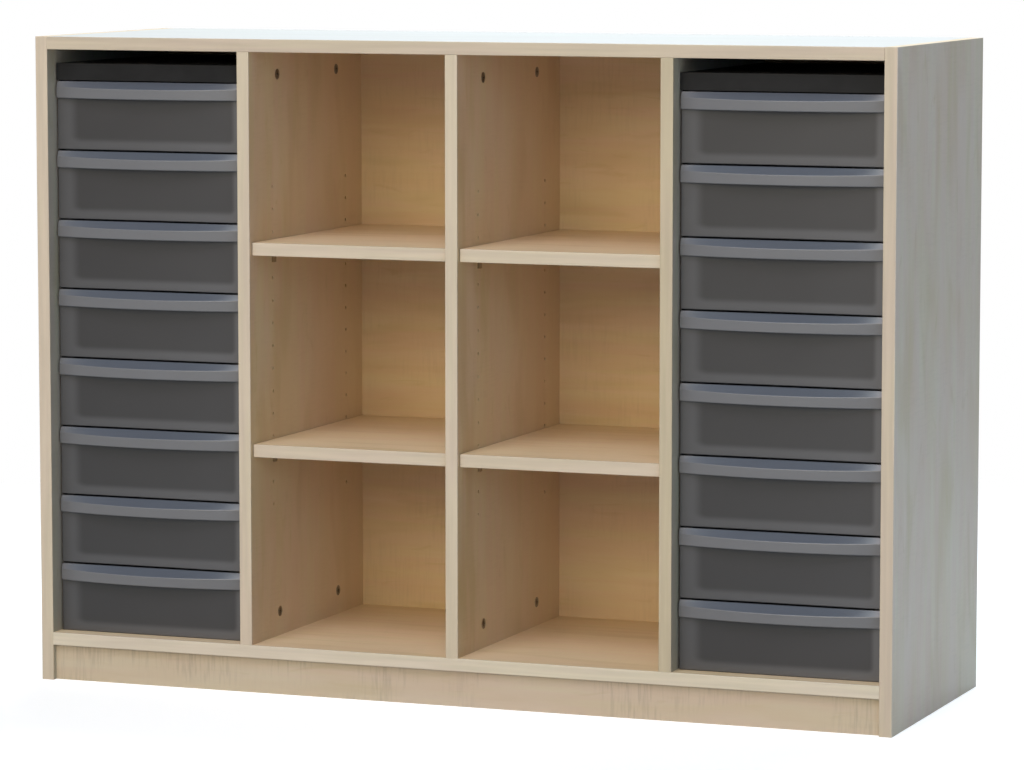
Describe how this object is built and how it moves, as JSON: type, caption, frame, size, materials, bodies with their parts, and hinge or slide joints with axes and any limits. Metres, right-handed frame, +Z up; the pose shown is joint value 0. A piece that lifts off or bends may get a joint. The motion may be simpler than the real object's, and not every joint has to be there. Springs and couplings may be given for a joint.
{
  "type": "classroom tray storage unit",
  "caption": "Low free-standing cabinet of maple-look board: open shelf bays in the middle, and at each side a stack of pull-out smoke-grey plastic trays with bowed handle lips.",
  "frame": {"origin": "on the floor, at the middle of the width and of the depth", "axes": "+X to the right along the width, +Y from the front to the back, +Z up; the open front faces -Y"},
  "size_m": [1.258, 0.42, 0.914],
  "materials": {
    "maple_board": "satin melamine laminate with a maple print, banded edges",
    "maple_back": "satin laminated hardboard with a maple print",
    "smoke_plastic": "satin smoke-grey moulded plastic",
    "casing_plastic": "matt black moulded plastic",
    "support_plastic": "matt brown moulded plastic",
    "zinc_fitting": "die-cast zinc, dull",
    "steel_fitting": "zinc-plated steel",
    "beech_dowel": "plain beech"
  },
  "bodies": {
    "cabinet": {"left_side": "maple_board", "right_side": "maple_board", "top_board": "maple_board", "bottom_board": "maple_board", "left_divider": "maple_board", "centre_divider": "maple_board", "right_divider": "maple_board", "back_panel": "maple_back", "front_plinth": "maple_board", "rear_plinth": "maple_board", "left_bay_shelf_1": "maple_board", "left_bay_shelf_2": "maple_board", "right_bay_shelf_1": "maple_board", "right_bay_shelf_2": "maple_board", "shelf_supports": "support_plastic", "cam_housings": "zinc_fitting", "cam_bolts": "steel_fitting", "dowels": "beech_dowel", "back_screws": "steel_fitting", "casing_screws": "steel_fitting", "left_casing_base": "casing_plastic", "left_casing_left_wall": "casing_plastic", "left_casing_right_wall": "casing_plastic", "left_casing_back": "casing_plastic", "left_casing_cap": "casing_plastic", "right_casing_base": "casing_plastic", "right_casing_left_wall": "casing_plastic", "right_casing_right_wall": "casing_plastic", "right_casing_back": "casing_plastic", "right_casing_cap": "casing_plastic"},
    "left_tray_1": {"left_tray_1": "smoke_plastic"},
    "left_tray_2": {"left_tray_2": "smoke_plastic"},
    "left_tray_3": {"left_tray_3": "smoke_plastic"},
    "left_tray_4": {"left_tray_4": "smoke_plastic"},
    "left_tray_5": {"left_tray_5": "smoke_plastic"},
    "left_tray_6": {"left_tray_6": "smoke_plastic"},
    "left_tray_7": {"left_tray_7": "smoke_plastic"},
    "left_tray_8": {"left_tray_8": "smoke_plastic"},
    "right_tray_1": {"right_tray_1": "smoke_plastic"},
    "right_tray_2": {"right_tray_2": "smoke_plastic"},
    "right_tray_3": {"right_tray_3": "smoke_plastic"},
    "right_tray_4": {"right_tray_4": "smoke_plastic"},
    "right_tray_5": {"right_tray_5": "smoke_plastic"},
    "right_tray_6": {"right_tray_6": "smoke_plastic"},
    "right_tray_7": {"right_tray_7": "smoke_plastic"},
    "right_tray_8": {"right_tray_8": "smoke_plastic"}
  },
  "joints": [
    {"name": "left_tray_1_slide", "type": "slide", "parent": "cabinet", "child": "left_tray_1", "axis": [0, -1, 0], "range_m": [0, 0.29]},
    {"name": "left_tray_2_slide", "type": "slide", "parent": "cabinet", "child": "left_tray_2", "axis": [0, -1, 0], "range_m": [0, 0.29]},
    {"name": "left_tray_3_slide", "type": "slide", "parent": "cabinet", "child": "left_tray_3", "axis": [0, -1, 0], "range_m": [0, 0.29]},
    {"name": "left_tray_4_slide", "type": "slide", "parent": "cabinet", "child": "left_tray_4", "axis": [0, -1, 0], "range_m": [0, 0.29]},
    {"name": "left_tray_5_slide", "type": "slide", "parent": "cabinet", "child": "left_tray_5", "axis": [0, -1, 0], "range_m": [0, 0.29]},
    {"name": "left_tray_6_slide", "type": "slide", "parent": "cabinet", "child": "left_tray_6", "axis": [0, -1, 0], "range_m": [0, 0.29]},
    {"name": "left_tray_7_slide", "type": "slide", "parent": "cabinet", "child": "left_tray_7", "axis": [0, -1, 0], "range_m": [0, 0.29]},
    {"name": "left_tray_8_slide", "type": "slide", "parent": "cabinet", "child": "left_tray_8", "axis": [0, -1, 0], "range_m": [0, 0.29]},
    {"name": "right_tray_1_slide", "type": "slide", "parent": "cabinet", "child": "right_tray_1", "axis": [0, -1, 0], "range_m": [0, 0.29]},
    {"name": "right_tray_2_slide", "type": "slide", "parent": "cabinet", "child": "right_tray_2", "axis": [0, -1, 0], "range_m": [0, 0.29]},
    {"name": "right_tray_3_slide", "type": "slide", "parent": "cabinet", "child": "right_tray_3", "axis": [0, -1, 0], "range_m": [0, 0.29]},
    {"name": "right_tray_4_slide", "type": "slide", "parent": "cabinet", "child": "right_tray_4", "axis": [0, -1, 0], "range_m": [0, 0.29]},
    {"name": "right_tray_5_slide", "type": "slide", "parent": "cabinet", "child": "right_tray_5", "axis": [0, -1, 0], "range_m": [0, 0.29]},
    {"name": "right_tray_6_slide", "type": "slide", "parent": "cabinet", "child": "right_tray_6", "axis": [0, -1, 0], "range_m": [0, 0.29]},
    {"name": "right_tray_7_slide", "type": "slide", "parent": "cabinet", "child": "right_tray_7", "axis": [0, -1, 0], "range_m": [0, 0.29]},
    {"name": "right_tray_8_slide", "type": "slide", "parent": "cabinet", "child": "right_tray_8", "axis": [0, -1, 0], "range_m": [0, 0.29]}
  ]
}
